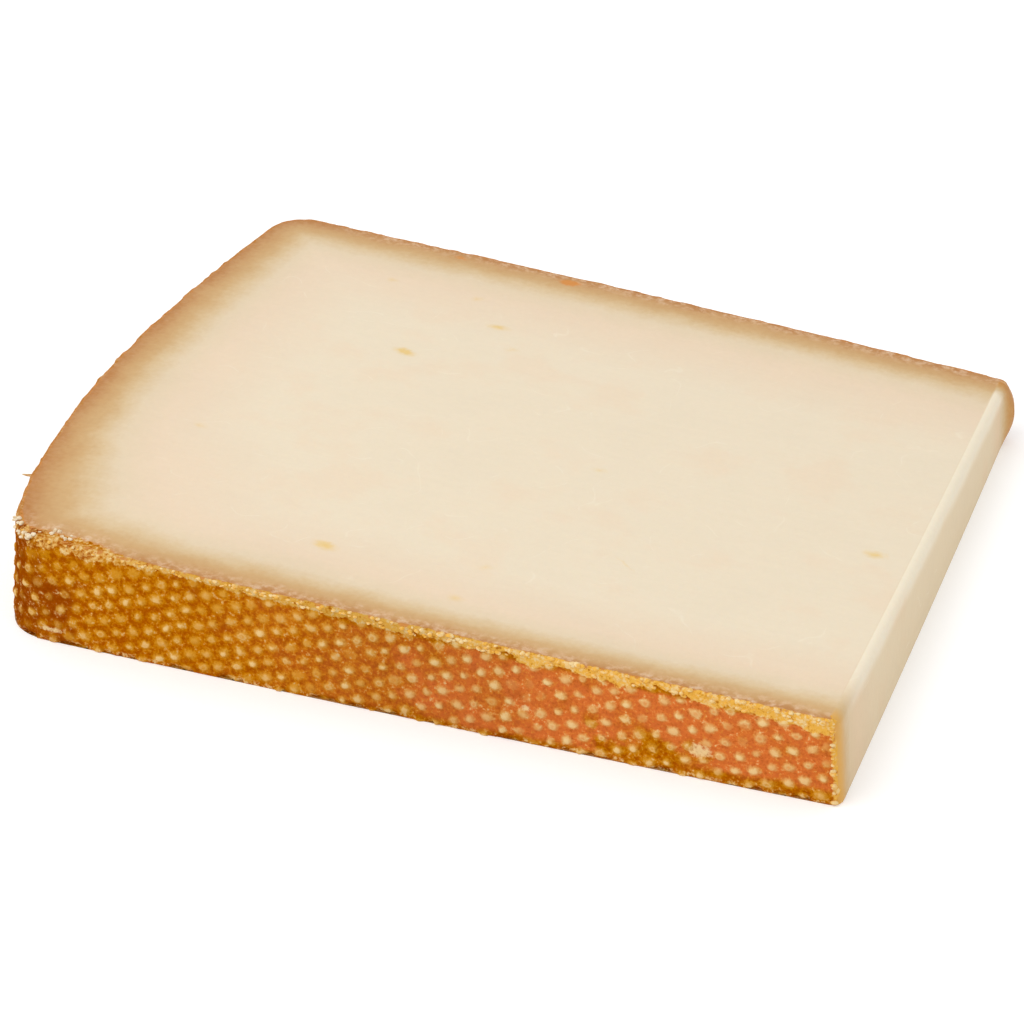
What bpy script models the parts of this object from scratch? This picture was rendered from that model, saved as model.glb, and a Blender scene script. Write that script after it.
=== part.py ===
"""A slice of hard cheese, cut from the rim of a wheel and lying on one of its two cut faces.

The plan is a four-sided outline with bowed sides and rounded corners. The two long sides are the
wheel's flat faces, the left side is the wheel's own rim (the heel), and the right side is a cut end.
The upper cut face is higher at the heel than at the end, as on a slice cut towards the wheel's centre.
A mat of raised dots is pressed into the rind of both flat faces and the heel.

X runs from the heel to the cut end, Y from the front flat face to the back one, Z up. Metres.
"""
import math

import bmesh
import bpy
import numpy as np
from mathutils import Vector
from mathutils.geometry import delaunay_2d_cdt

MM = 0.001

# Plan of the lower cut face: corners before rounding, going round anticlockwise from above
LOWER_CORNERS = {
    "back_right": (67.0 * MM, 55.4 * MM),
    "back_left": (-66.3 * MM, 59.4 * MM),
    "front_left": (-60.3 * MM, -58.7 * MM),
    "front_right": (70.3 * MM, -58.8 * MM),
}

# Plan of the upper cut face, which is a little shorter and whose front edge leans out
UPPER_CORNERS = {
    "back_right": (66.6 * MM, 55.3 * MM),
    "back_left": (-65.6 * MM, 59.0 * MM),
    "front_left": (-58.4 * MM, -58.7 * MM),
    "front_right": (69.2 * MM, -59.1 * MM),
}

# How far the side that follows each corner stands out in its middle
BOW = {"back_right": 1.3 * MM, "back_left": 6.6 * MM, "front_left": 0.5 * MM, "front_right": 0.2 * MM}

# How much fuller that bow is towards the next corner: 0 is even, and 1 leaves none at the corner before
LEAN = {"back_right": 0.0, "back_left": 0.24, "front_left": 0.0, "front_right": 0.0}

# How far from each corner its rounding starts
CORNER_REACH = {
    "back_right": 1.5 * MM,
    "back_left": 6.5 * MM,
    "front_left": 7.5 * MM,
    "front_right": 2.0 * MM,
}

# Height of the upper cut face over each corner
THICKNESS = {
    "back_right": 10.6 * MM,
    "back_left": 18.0 * MM,
    "front_left": 17.9 * MM,
    "front_right": 14.1 * MM,
}

# The mat of dots: a lattice of equilateral triangles, turned a little against the cut edges
DOT_PITCH = 2.81 * MM
DOT_HEIGHT = 0.4 * MM
DOT_TURN = math.radians(18.15)
FIRST_DOT = (-6.2 * MM, 7.9 * MM)

# The crust that rises along the upper edge of the rind, where the knife came through
CRUST_WIDTH = 1.9 * MM
CRUST_HEIGHT = 0.3 * MM

# The rind at the far end of the cut end is harder than the paste and stands out
FAR_RIND_BULGE = 2.0 * MM
FAR_RIND_WIDTH = 5.0 * MM

UPPER_EDGE_BEVEL = 0.6 * MM

# Facets: their size along the edges and in the upper face, and how near two points may lie
EDGE_STEP = 2.4 * MM
FACE_STEP = 12.0 * MM
LEAST_GAP = 0.75 * MM
SAME_POINT = 0.01 * MM
OUTLINE_SAMPLES = 24

# Rows of points across the cut end, as shares of its height
END_ROWS = (0.3, 0.7)

# The dots and the crust stop this far from the rind's upright edges
RIND_MARGIN = 0.1 * MM

PASTE_COLOUR = (0.84, 0.72, 0.52, 1.0)
PASTE_ROUGHNESS = 0.5
RIND_COLOUR = (0.55, 0.26, 0.07, 1.0)
RIND_ROUGHNESS = 0.7

CORNER_ORDER = ("back_right", "back_left", "front_left", "front_right")
RIND_SIDES = 3


def side_point(corners, index, along):
    """A point on the bowed side that follows corner number index, at 0 to 1 along it."""
    name = CORNER_ORDER[index]
    start = np.array(corners[name])
    chord = np.array(corners[CORNER_ORDER[(index + 1) % 4]]) - start
    outward = np.array((chord[1], -chord[0])) / np.hypot(*chord)
    bow = 4.0 * BOW[name] * along * (1.0 - along) * (1.0 + LEAN[name] * (2.0 * along - 1.0))
    return start + along * chord + bow * outward


def side_direction(corners, index, along):
    """The unit direction of that side at the same place."""
    ahead = side_point(corners, index, along + 0.001)
    behind = side_point(corners, index, along - 0.001)
    return (ahead - behind) / np.hypot(*(ahead - behind))


def side_length(corners, index):
    """The straight length of the side that follows corner number index."""
    start = np.array(corners[CORNER_ORDER[index]])
    end = np.array(corners[CORNER_ORDER[(index + 1) % 4]])
    return np.hypot(*(end - start))


def crossing(point_a, direction_a, point_b, direction_b):
    """Where two lines in the plan cross."""
    system = np.column_stack((direction_a, -direction_b))
    return point_a + direction_a * np.linalg.solve(system, point_b - point_a)[0]


def closed_outline(corners, samples=OUTLINE_SAMPLES):
    """The whole outline as points: each corner's rounding, then the bowed side that follows it.

    The roundings are quadratic curves between the points that lie CORNER_REACH from the corner.
    The first point is halfway round the back right corner, where the rind starts. Both outlines
    have the same number of points, so that equal indices face each other.
    """
    points = []
    for index, name in enumerate(CORNER_ORDER):
        before = 1.0 - CORNER_REACH[name] / side_length(corners, index - 1)
        after = CORNER_REACH[name] / side_length(corners, index)
        next_name = CORNER_ORDER[(index + 1) % 4]
        last = 1.0 - CORNER_REACH[next_name] / side_length(corners, index)
        start = side_point(corners, (index - 1) % 4, before)
        end = side_point(corners, index, after)
        control = crossing(start, side_direction(corners, (index - 1) % 4, before),
                           end, side_direction(corners, index, after))
        for step in range(samples // 2):
            t = step / (samples // 2)
            points.append((1 - t) ** 2 * start + 2 * t * (1 - t) * control + t ** 2 * end)
        for step in range(samples):
            points.append(side_point(corners, index, after + (last - after) * step / samples))
    half_corner = samples // 4
    points = points[half_corner:] + points[:half_corner]
    return np.array(points + points[:1])


class Wall:
    """The upright wall of the slice, unrolled: s runs round the lower outline and z runs up.

    The rind is the part from s = 0 to s = rind_length, and the cut end is the rest.
    """

    def __init__(self):
        self.lower = closed_outline(LOWER_CORNERS)
        self.upper = closed_outline(UPPER_CORNERS)
        steps = np.hypot(*np.diff(self.lower, axis=0).T)
        self.s = np.concatenate(((0.0,), np.cumsum(steps)))
        self.length = self.s[-1]
        self.rind_length = self.s[RIND_SIDES * (len(self.lower) - 1) // 4]

    def plan(self, outline, s):
        """The point at s on one of the two outlines."""
        s = s % self.length
        return np.array([np.interp(s, self.s, outline[:, axis]) for axis in (0, 1)])

    def height(self, s):
        """The height of the wall at s, where it meets the bevel of the upper cut face."""
        return face_height(self.plan(self.upper, s)) - UPPER_EDGE_BEVEL

    def outward(self, s):
        """The unit direction out of the wall at s, in the plan."""
        ahead = self.plan(self.lower, s + 0.5 * MM) - self.plan(self.lower, s - 0.5 * MM)
        return np.array((ahead[1], -ahead[0])) / np.hypot(*ahead)

    def is_rind(self, s):
        """Whether s is on the dotted rind and not on the cut end or on the edges between them."""
        return RIND_MARGIN < s < self.rind_length - RIND_MARGIN

    def point(self, s, z):
        """The point of the finished wall at s and z, with dots, crust and bulge."""
        share = z / self.height(s)
        flat = (1.0 - share) * self.plan(self.lower, s) + share * self.plan(self.upper, s)
        x, y = flat + self.outward(s) * self.relief(s, z)
        return x, y, z

    def relief(self, s, z):
        """How far the surface at s and z stands out from the plain wall."""
        height = self.height(s)
        near_far_edge = max(0.0, 1.0 - min(s, self.length - s) / FAR_RIND_WIDTH)
        bulge = FAR_RIND_BULGE * near_far_edge * math.sin(math.pi * z / height)
        if not self.is_rind(s):
            return bulge
        crust = CRUST_HEIGHT * max(0.0, 1.0 - (height - z) / CRUST_WIDTH)
        dot = DOT_HEIGHT * max(0.0, 1.0 - 2.0 * self.dot_distance(s, z) / DOT_PITCH)
        return bulge + max(crust, dot)

    def dot_axes(self):
        """The two lattice directions, as columns."""
        turns = (DOT_TURN, DOT_TURN + math.radians(60.0))
        return DOT_PITCH * np.array(([math.cos(turn) for turn in turns], [math.sin(turn) for turn in turns]))

    def dot_place(self, i, j):
        """The unrolled place of dot i, j. Dot 0, 0 is near the end of the front face."""
        first = np.array((self.rind_length + FIRST_DOT[0], FIRST_DOT[1]))
        return first + self.dot_axes() @ np.array((i, j))

    def dot_distance(self, s, z):
        """The distance to the nearest dot."""
        lattice = np.linalg.solve(self.dot_axes(), np.array((s, z)) - self.dot_place(0, 0))
        base = np.floor(lattice)
        corners = [base + np.array(step) for step in ((0, 0), (1, 0), (0, 1), (1, 1))]
        return min(np.hypot(*(self.dot_axes() @ (lattice - corner))) for corner in corners)

    def lattice_points(self):
        """The dots on the rind, and the places midway between neighbours, where the rind is plain."""
        points = []
        rows = int(max(THICKNESS.values()) / DOT_PITCH) + 2
        columns = int(self.length / DOT_PITCH) + 4
        for half_i in range(-2 * columns, 2 * rows):
            for half_j in range(-2 * rows, 2 * (columns // 2)):
                s, z = self.dot_place(half_i / 2.0, half_j / 2.0)
                inside = LEAST_GAP < s < self.rind_length - LEAST_GAP
                if inside and LEAST_GAP < z < self.height(s) - CRUST_WIDTH:
                    points.append((s, z))
        return points


def face_height(place):
    """The height of the upper cut face over a place: between the four corners' heights, both ways."""
    left = 0.5 * (UPPER_CORNERS["front_left"][0] + UPPER_CORNERS["back_left"][0])
    right = 0.5 * (UPPER_CORNERS["front_right"][0] + UPPER_CORNERS["back_right"][0])
    front = UPPER_CORNERS["front_left"][1]
    back = UPPER_CORNERS["back_left"][1]
    u = (place[0] - left) / (right - left)
    v = (place[1] - front) / (back - front)
    near = (1.0 - u) * THICKNESS["front_left"] + u * THICKNESS["front_right"]
    far = (1.0 - u) * THICKNESS["back_left"] + u * THICKNESS["back_right"]
    return (1.0 - v) * near + v * far


def triangulate(loop, inner):
    """Triangles that fill the polygon loop and use the inner points. Flat points in, indices out.

    The work is done in millimetres, which suits the triangulation's tolerance.
    """
    flat = [Vector((float(x) / MM, float(y) / MM)) for x, y in list(loop) + list(inner)]
    filled = delaunay_2d_cdt(flat, [], [list(range(len(loop)))], 1, 1e-5)
    points = [(point.x * MM, point.y * MM) for point in filled[0]]
    return points, [tuple(face) for face in filled[2]]


def edge_places(wall):
    """Even places round the wall, once round, with one on each end of the rind."""
    rind = np.linspace(0.0, wall.rind_length, int(wall.rind_length / EDGE_STEP))
    cut = np.linspace(wall.rind_length, wall.length, int((wall.length - wall.rind_length) / EDGE_STEP))
    return np.concatenate((rind, cut[1:-1]))


def add_faces(mesh, points, faces, material):
    """Adds triangles to the bmesh, each with one material number."""
    verts = [mesh.verts.new(point) for point in points]
    for face in faces:
        mesh.faces.new([verts[index] for index in face]).material_index = material


def add_wall(mesh, wall, places):
    """The wall as two unrolled strips, the dotted rind and the plain cut end."""
    rind = [s for s in places if s <= wall.rind_length]
    end = [s for s in places if s >= wall.rind_length] + [wall.length]
    crust = [(s, wall.height(s) - 0.5 * CRUST_WIDTH) for s in rind[1:-1]]
    crust += [(s, wall.height(s) - CRUST_WIDTH) for s in rind[1:-1]]
    middle = [(s, share * wall.height(s)) for s in end[1:-1] for share in END_ROWS]
    for columns, inner, material in ((rind, wall.lattice_points() + crust, 1), (end, middle, 0)):
        first, last = columns[0], columns[-1]
        loop = [(s, 0.0) for s in columns]
        loop += [(last, share * wall.height(last)) for share in END_ROWS]
        loop += [(s, wall.height(s)) for s in reversed(columns)]
        loop += [(first, share * wall.height(first)) for share in reversed(END_ROWS)]
        flat, faces = triangulate(loop, clear_of_loop(inner, loop))
        add_faces(mesh, [wall.point(s, z) for s, z in flat], faces, material)


def clear_of_loop(inner, loop):
    """The inner points that keep LEAST_GAP to the loop's points and to the points before them."""
    kept = []
    taken = np.array(loop)
    for point in inner:
        if np.min(np.hypot(*(taken - np.array(point)).T)) > LEAST_GAP:
            kept.append(point)
            taken = np.vstack((taken, point))
    return kept


def add_lower_face(mesh, wall, places):
    """The flat cut face that the slice lies on."""
    ring = [mesh.verts.new(wall.point(s, 0.0)) for s in places]
    mesh.faces.new(list(reversed(ring)))


def add_upper_face(mesh, wall, places):
    """The bevel along the upper edge, and the gently twisted upper cut face inside it."""
    edge = [wall.point(s, wall.height(s)) for s in places]
    rim = []
    for s, (x, y, _) in zip(places, edge):
        inner_x, inner_y = np.array((x, y)) - UPPER_EDGE_BEVEL * wall.outward(s)
        rim.append((inner_x, inner_y))
    solid_rim = [(x, y, face_height((x, y))) for x, y in rim]
    count = len(places)
    quads = [(k, (k + 1) % count, count + (k + 1) % count, count + k) for k in range(count)]
    add_faces(mesh, edge + solid_rim, quads, 0)
    low, high = np.min(rim, axis=0) + FACE_STEP / 2, np.max(rim, axis=0) - FACE_STEP / 2
    columns, rows = (np.arange(low[axis], high[axis], FACE_STEP) for axis in (0, 1))
    grid = [(x, y) for x in columns for y in rows if inside_ring((x, y), rim)]
    flat, faces = triangulate(rim, grid)
    add_faces(mesh, [(x, y, face_height((x, y))) for x, y in flat], faces, 0)


def inside_ring(place, ring):
    """Whether a place is well inside a convex ring that runs anticlockwise."""
    ring = np.array(ring)
    ahead = np.roll(ring, -1, axis=0) - ring
    to_place = np.array(place) - ring
    depth = (ahead[:, 0] * to_place[:, 1] - ahead[:, 1] * to_place[:, 0]) / np.hypot(*ahead.T)
    return depth.min() > EDGE_STEP


def principled(name, colour, roughness):
    """A plain material with one colour."""
    material = bpy.data.materials.new(name)
    material.use_nodes = True
    shader = material.node_tree.nodes["Principled BSDF"]
    shader.inputs["Base Color"].default_value = colour
    shader.inputs["Roughness"].default_value = roughness
    shader.inputs["Metallic"].default_value = 0.0
    material.diffuse_color = colour
    return material


def make_cheese():
    """The slice as one closed body, paste in the first material and rind in the second."""
    wall = Wall()
    places = edge_places(wall)
    mesh = bmesh.new()
    add_wall(mesh, wall, places)
    add_lower_face(mesh, wall, places)
    add_upper_face(mesh, wall, places)
    bmesh.ops.remove_doubles(mesh, verts=mesh.verts, dist=SAME_POINT)
    data = bpy.data.meshes.new("cheese")
    mesh.to_mesh(data)
    mesh.free()
    data.materials.append(principled("cheese_paste", PASTE_COLOUR, PASTE_ROUGHNESS))
    data.materials.append(principled("cheese_rind", RIND_COLOUR, RIND_ROUGHNESS))
    cheese = bpy.data.objects.new("cheese", data)
    bpy.context.scene.collection.objects.link(cheese)
    return cheese


def main():
    """Clears the scene and makes the slice."""
    for thing in list(bpy.data.objects):
        bpy.data.objects.remove(thing, do_unlink=True)
    make_cheese()


main()
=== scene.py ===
"""The looks of a slice of gruyere: cream paste, a tan band under the rind, and rind with raised dots.

The file is laid out as a Blender add-on and is run as a script. Each operator makes a piece or a few.
Lengths are metres, and the materials and the marks that they read use millimetres.
"""

import math

import bpy
import numpy as np
from bpy.props import FloatProperty, FloatVectorProperty, IntProperty, PointerProperty
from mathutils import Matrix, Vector


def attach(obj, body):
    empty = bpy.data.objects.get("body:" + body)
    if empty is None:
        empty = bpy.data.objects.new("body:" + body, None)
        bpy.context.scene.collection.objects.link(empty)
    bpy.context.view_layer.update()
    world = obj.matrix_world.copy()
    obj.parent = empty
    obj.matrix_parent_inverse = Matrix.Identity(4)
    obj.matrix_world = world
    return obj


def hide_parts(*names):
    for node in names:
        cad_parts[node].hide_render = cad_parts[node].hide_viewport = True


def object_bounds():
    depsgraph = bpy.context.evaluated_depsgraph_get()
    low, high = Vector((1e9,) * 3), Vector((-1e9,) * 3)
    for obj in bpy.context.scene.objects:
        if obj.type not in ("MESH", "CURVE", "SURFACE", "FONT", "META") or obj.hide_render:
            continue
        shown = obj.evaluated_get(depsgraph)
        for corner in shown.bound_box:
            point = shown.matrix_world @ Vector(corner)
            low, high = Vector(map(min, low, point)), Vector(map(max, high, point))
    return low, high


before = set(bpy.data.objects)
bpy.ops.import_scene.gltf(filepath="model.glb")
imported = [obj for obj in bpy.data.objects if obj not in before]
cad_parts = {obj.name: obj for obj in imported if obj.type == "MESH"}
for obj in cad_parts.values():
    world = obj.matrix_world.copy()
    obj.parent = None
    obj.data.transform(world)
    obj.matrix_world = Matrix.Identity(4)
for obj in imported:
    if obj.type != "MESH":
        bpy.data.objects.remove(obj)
CAD_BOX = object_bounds()

bl_info = {
    "name": "Gruyere Slice",
    "version": (1, 0, 0),
    "blender": (4, 5, 0),
    "location": "3D View > Sidebar > Cheese",
    "description": "Makes a slice of gruyere with a dotted rind, and a plain studio for it",
    "category": "Object",
}

MM = 0.001
BOX_LOW = np.array(CAD_BOX[0])
BOX_HIGH = np.array(CAD_BOX[1])

# The plan's corners before rounding, anticlockwise from the back right, then the bow and the lean of
# the side that follows each corner, and how far each corner's rounding reaches
LOWER_PLAN = np.array(((67.0, 55.4), (-66.3, 59.4), (-60.3, -58.7), (70.3, -58.8))) * MM
UPPER_PLAN = np.array(((66.6, 55.3), (-65.6, 59.0), (-58.4, -58.7), (69.2, -59.1))) * MM
SIDE_BOW = np.array((1.3, 6.6, 0.5, 0.2)) * MM
SIDE_LEAN = np.array((0.0, 0.24, 0.0, 0.0))
CORNER_REACH = np.array((1.5, 6.5, 7.5, 2.0)) * MM

# Pale worn places on the front rind: x and z of the middle, half the width, half the height
WORN_PLACES = np.array(((49.8, 4.9, 2.0, 1.3), (-52.3, 2.2, 2.6, 0.5), (23.8, 6.1, 0.7, 0.5))) * MM

# Yellow flecks in the upper cut face in millimetres: x, y, half length, half width, turn, strength
FLECKS = (
    (-26.9, 19.5, 2.7, 1.5, -14.0, 0.9), (-16.2, 34.5, 2.8, 1.3, 6.0, 0.6),
    (-38.9, 43.3, 1.6, 1.2, 0.0, 0.35), (-23.1, 43.0, 1.6, 1.3, 20.0, 0.35),
    (-11.2, 28.0, 1.8, 1.0, 20.0, 0.3), (-13.9, -43.2, 2.8, 1.6, -20.0, 0.7),
    (61.7, -11.6, 2.6, 1.6, 0.0, 0.6), (15.6, -4.4, 1.8, 1.2, 15.0, 0.35),
    (9.3, -49.4, 1.9, 1.4, 0.0, 0.4), (10.1, -39.7, 1.6, 1.1, 30.0, 0.3),
    (-46.6, -17.4, 2.0, 1.1, -10.0, 0.35), (28.7, -30.3, 4.0, 0.4, -38.0, 0.3),
)

# Orange chips of rind pressed into the band, given the same way
CHIPS = ((-11.1, 56.1, 2.6, 1.5, 0.0, 1.0), (-31.5, 56.6, 2.2, 1.0, -12.0, 0.5))


def linear(red, green, blue):
    """A display colour of 0 to 255 a channel as scene-linear light, which Blender's colours are."""
    display = np.array((red, green, blue)) / 255.0
    return tuple(np.where(display <= 0.04045, display / 12.92, ((display + 0.055) / 1.055) ** 2.4))


def length_setting(name, description, millimetres):
    """A length as a property. Its default is given in millimetres."""
    return FloatProperty(name=name, description=description, default=millimetres * MM, unit="LENGTH")


def colour_setting(name, description, *display):
    """A colour as a property. Its default is given as a display colour."""
    return FloatVectorProperty(name=name, description=description, default=linear(*display), subtype="COLOR")


class SliceSizes(bpy.types.PropertyGroup):
    """Sizes of the slice and of its relief."""

    heel_front: length_setting("Height at heel, front", "Thickness over the front left corner", 17.9)
    heel_back: length_setting("Height at heel, back", "Thickness over the back left corner", 18.0)
    end_front: length_setting("Height at end, front", "Thickness over the front right corner", 14.1)
    end_back: length_setting("Height at end, back", "Thickness over the back right corner", 10.6)
    dot_pitch: length_setting("Dot pitch", "Distance between neighbouring dots on the rind", 2.81)
    dot_height: length_setting("Dot height", "How far a dot stands out of the rind", 0.36)
    dot_radius: length_setting("Dot radius", "Radius of a dot at its foot", 0.82)
    crust_width: length_setting(
        "Crust width", "Depth of the crumbly crust along the rind's upper edge, at most", 1.6)
    crust_height: length_setting("Crust height", "How far that crust stands out", 0.24)
    far_bulge: length_setting(
        "Far rind bulge", "How far the rind stands out at the far end of the cut end", 2.0)
    seed: IntProperty(name="Seed", description="Seed of the uneven relief", default=7)


class SliceColours(bpy.types.PropertyGroup):
    """Colours of the slice."""

    paste: colour_setting("Paste", "Cut paste in the middle", 226, 211, 185)
    paste_warm: colour_setting("Paste, warm", "Slightly pinker patches of the paste", 225, 203, 175)
    band_inner: colour_setting(
        "Band, inner", "Where the band under the rind fades into the paste", 219, 199, 168)
    band_pale: colour_setting("Band, pale", "Pale tan in the middle of the band", 210, 183, 141)
    band_tan: colour_setting("Band, tan", "Golden tan towards the rind", 200, 163, 112)
    band_brown: colour_setting("Band, brown", "Browner tan beside the rind", 193, 149, 95)
    band_outer: colour_setting("Band, outer", "Brown line just under the rind", 177, 119, 60)
    chip: colour_setting(
        "Chip", "Orange chips of rind, and the line where paste meets rind", 206, 128, 38)
    frost: colour_setting("Frost", "Pinkish bloom on the band beside the rind", 226, 193, 158)
    # Painted highlight along the cut end's rounded upper edge; the same pale colour also draws the faint real
    # scratches in the paste
    highlight_and_scratch: colour_setting(
        "Edge of the cut end", "Paler line along the cut end's upper edge", 240, 231, 210)
    end_tint: FloatVectorProperty(
        name="Cut end, tint", description="What the paste is multiplied by on the cut end",
        subtype="COLOR", default=(0.925, 0.86, 0.738))
    fleck: colour_setting("Fleck", "Small yellow flecks in the paste", 224, 188, 104)
    golden_ground: colour_setting("Rind, golden", "Golden brown rind round the dots", 187, 118, 2)
    brown_ground: colour_setting("Rind, brown", "Orange brown rind between the dots", 161, 78, 0)
    salmon_ground: colour_setting("Rind, salmon", "Pinker rind towards the cut end", 207, 107, 51)
    dark_ground: colour_setting("Rind, dark", "Dark red-brown blotches of the rind", 140, 58, 0)
    dot: colour_setting("Dot", "Foot of a raised dot", 204, 147, 50)
    salmon_dot: colour_setting("Dot, salmon", "Foot of a dot on the pinker rind", 216, 166, 98)
    # Pale colour of the dots' tops, which also stands in for part of a painted highlight there; it is used
    # too for pale wear, specks and crust
    dot_peak: colour_setting("Dot peak", "Pale top of a raised dot", 229, 201, 147)
    crust: colour_setting("Crust", "Golden crust along the upper edge", 225, 169, 70)
    crumb: colour_setting("Crumb", "Whitish crumbs and bloom", 230, 213, 184)


# Cells along the side of the lattice of random values
LATTICE = 256

# The step from one ring of a cut face to the next inwards one, as a share of the step before
RING_GROWTH = 1.35


# Shape

def face_height(sizes, x, y):
    """The height of the upper cut face: linear in x and in y between the four corners' heights."""
    left = 0.5 * (UPPER_PLAN[1, 0] + UPPER_PLAN[2, 0])
    right = 0.5 * (UPPER_PLAN[0, 0] + UPPER_PLAN[3, 0])
    front, back = UPPER_PLAN[2, 1], UPPER_PLAN[1, 1]
    u = (x - left) / (right - left)
    v = (y - front) / (back - front)
    near = (1.0 - u) * sizes.heel_front + u * sizes.end_front
    far = (1.0 - u) * sizes.heel_back + u * sizes.end_back
    return (1.0 - v) * near + v * far


def bowed_side(start, end, side, along):
    """Points on a bowed side: the chord plus 4 bow t (1 - t) (1 + lean (2 t - 1)) outwards.

    Here t is the share of the way, and the lean makes the bow fuller towards the end of the side.
    """
    chord = end - start
    outward = np.array((chord[1], -chord[0])) / np.hypot(*chord)
    reach = 4.0 * SIDE_BOW[side] * along * (1.0 - along) * (1.0 + SIDE_LEAN[side] * (2.0 * along - 1.0))
    return start + along[:, None] * chord + reach[:, None] * outward


def crossing(point_a, direction_a, point_b, direction_b):
    """Where two lines in the plan cross."""
    system = np.column_stack((direction_a, -direction_b))
    return point_a + direction_a * np.linalg.solve(system, point_b - point_a)[0]


def closed_plan(corners, samples=48):
    """The outline as points, anticlockwise from halfway round the back right corner.

    Each corner is a quadratic curve between the points CORNER_REACH from it, and each side between
    two corners is bowed. Both outlines have equally many points, so equal indices belong together.
    """
    lengths = np.hypot(*(np.roll(corners, -1, axis=0) - corners).T)
    stretches = []
    for index in range(4):
        before, after = corners[index - 1], corners[(index + 1) % 4]
        near = CORNER_REACH[index] / lengths[index]
        far = 1.0 - CORNER_REACH[(index + 1) % 4] / lengths[index]
        arrive = 1.0 - CORNER_REACH[index] / lengths[index - 1] + np.array((-0.001, 0.0, 0.001))
        leave = near + np.array((-0.001, 0.0, 0.001))
        coming = bowed_side(before, corners[index], index - 1, arrive)
        going = bowed_side(corners[index], after, index, leave)
        corner = crossing(coming[1], coming[2] - coming[0], going[1], going[2] - going[0])
        t = np.linspace(0.0, 1.0, samples // 2, endpoint=False)[:, None]
        stretches.append((1 - t) ** 2 * coming[1] + 2 * t * (1 - t) * corner + t ** 2 * going[1])
        along = np.linspace(near, far, samples, endpoint=False)
        stretches.append(bowed_side(corners[index], after, index, along))
    points = np.roll(np.concatenate(stretches), -(samples // 4), axis=0)
    return np.concatenate((points, points[:1]))


class Plan:
    """Both outlines by s, the length along the lower one. The rind runs from s = 0 to rind_end."""

    def __init__(self):
        self.lower = closed_plan(LOWER_PLAN)
        self.upper = closed_plan(UPPER_PLAN)
        steps = np.hypot(*np.diff(self.lower, axis=0).T)
        self.s = np.concatenate(((0.0,), np.cumsum(steps)))
        self.length = self.s[-1]
        quarter = (len(self.s) - 1) // 4
        self.heel_start, self.front_start, self.rind_end = self.s[[quarter, 2 * quarter, 3 * quarter]]

    def at(self, outline, s):
        """Points on an outline at s."""
        s = np.mod(s, self.length)
        return np.stack([np.interp(s, self.s, outline[:, axis]) for axis in (0, 1)], axis=-1)

    def past_corner(self, s, low, high):
        """0 up to low millimetres past the front left corner, 1 from high on, and smooth between."""
        return smooth(s, self.front_start + low * MM, self.front_start + high * MM)

    def outward(self, s, reach=0.6 * MM):
        """Unit directions out of the outline at s."""
        ahead = self.at(self.lower, s + reach) - self.at(self.lower, s - reach)
        return np.stack((ahead[..., 1], -ahead[..., 0]), axis=-1) / np.hypot(*ahead.T)[:, None]


def smooth(value, low, high):
    """0 below low, 1 above high, and a smooth step between."""
    t = np.clip((value - low) / (high - low), 0.0, 1.0)
    return t * t * (3.0 - 2.0 * t)


def bumps(x, y, cell, seed):
    """Smooth noise from 0 to 1: random values on a square lattice of one cell, eased between.

    The lattice has LATTICE cells each way and then starts again.
    """
    table = np.random.default_rng(seed).random((LATTICE, LATTICE))
    column, row = np.floor(x / cell).astype(int), np.floor(y / cell).astype(int)
    u, v = smooth(x / cell - column, 0.0, 1.0), smooth(y / cell - row, 0.0, 1.0)
    left, right, low, high = column % LATTICE, (column + 1) % LATTICE, row % LATTICE, (row + 1) % LATTICE
    near = (1 - u) * table[left, low] + u * table[right, low]
    far = (1 - u) * table[left, high] + u * table[right, high]
    return (1 - v) * near + v * far


def rough(x, y, cell, seed):
    """Bumps at three sizes, each half as large and half as strong as the one before, from 0 to 1."""
    return (4 * bumps(x, y, cell, seed) + 2 * bumps(x, y, cell / 2, seed + 1)
            + bumps(x, y, cell / 4, seed + 2)) / 7.0


class Dots:
    """The mat of dots: places i A + j B, each moved, sized and toned by its own random draw."""

    TURN = math.radians(18.15)
    FIRST = np.array((-6.2, 7.9)) * MM
    JITTER = 0.04
    TABLE = (256, 128)

    def __init__(self, sizes, plan):
        turns = (self.TURN, self.TURN + math.radians(60.0))
        self.axes = sizes.dot_pitch * np.array([[math.cos(t) for t in turns], [math.sin(t) for t in turns]])
        self.origin = np.array((plan.rind_end, 0.0)) + self.FIRST
        self.radius = sizes.dot_radius
        draw = np.random.default_rng(sizes.seed)
        self.shift = self.JITTER * sizes.dot_pitch * draw.normal(size=self.TABLE + (2,))
        self.size = draw.uniform(0.80, 1.12, self.TABLE)
        self.stretch = draw.uniform(1.0, 1.3, self.TABLE)
        self.tone = draw.random(self.TABLE)
        self.hollow = draw.random(self.TABLE) ** 2

    def nearest(self, s, z):
        """For each place, how near the nearest dot is and that dot's tone and hollow.

        The rise is 1 - d / R at distance d from a dot of radius R, so it is 1 at its top, 0 at its foot
        and negative outside. Distances are shorter along s, because the dots are pressed wide.
        """
        offset = np.stack((s, z), axis=-1) - self.origin
        lattice = offset @ np.linalg.inv(self.axes).T
        base = np.floor(lattice).astype(int)
        rise = np.full(s.shape, -9.0)
        tone, hollow = np.zeros(s.shape), np.zeros(s.shape)
        for right, up in ((0, 0), (1, 0), (0, 1), (1, 1)):
            i, j = base[..., 0] + right, base[..., 1] + up
            place = (i % self.TABLE[0], j % self.TABLE[1])
            gap = offset - np.stack((i, j), axis=-1) @ self.axes.T - self.shift[place]
            distance = np.hypot(gap[..., 0] / self.stretch[place], gap[..., 1])
            candidate = 1.0 - distance / (self.radius * self.size[place])
            nearer = candidate > rise
            rise = np.where(nearer, candidate, rise)
            tone = np.where(nearer, self.tone[place], tone)
            hollow = np.where(nearer, self.hollow[place], hollow)
        return rise, tone, hollow


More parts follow.
